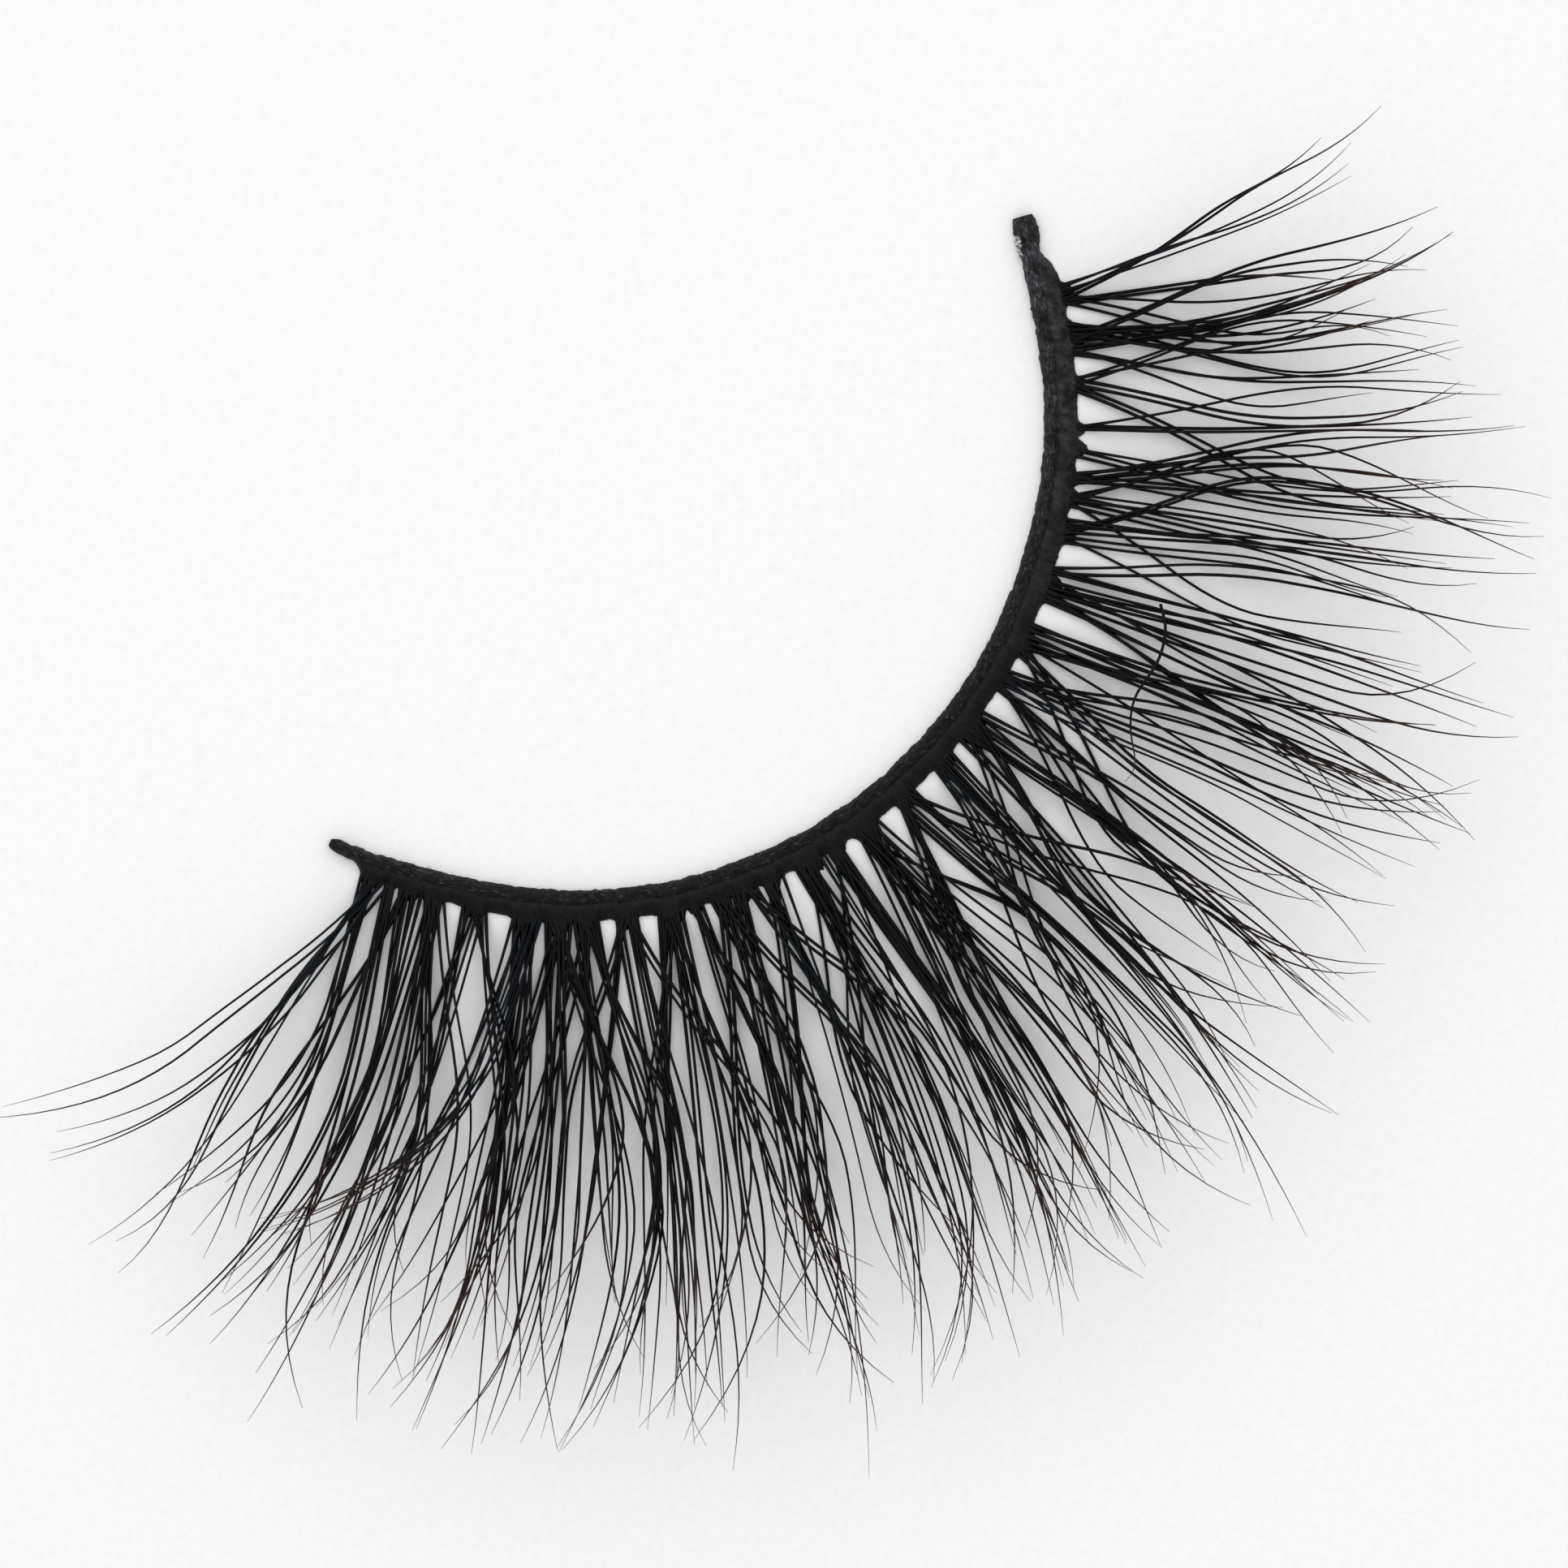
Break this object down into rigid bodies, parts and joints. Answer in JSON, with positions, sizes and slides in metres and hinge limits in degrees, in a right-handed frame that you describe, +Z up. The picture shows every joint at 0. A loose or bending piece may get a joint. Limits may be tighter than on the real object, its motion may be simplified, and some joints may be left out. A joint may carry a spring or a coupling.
{
  "type": "false eyelash strip",
  "caption": "Strip of false lashes for the upper eyelid: a curved thread band with a long curling fringe, shorter towards the inner corner.",
  "frame": {"origin": "centre of the bounding box in plan, on the surface that the strip lies on", "axes": "+X along the band's chord from the long-haired outer-corner tab to the inner-corner tab, lashes towards -Y, +Z up out of the surface"},
  "size_m": [0.0452, 0.0254, 0.0075],
  "materials": {
    "black_cotton": "matte, twisted thread stiffened with clear glue",
    "black_lash_hair": "satin hair, glued flat at the roots"
  },
  "bodies": {
    "root": {"cotton_thread": "black_cotton", "lash_fringe": "black_lash_hair"}
  },
  "joints": []
}
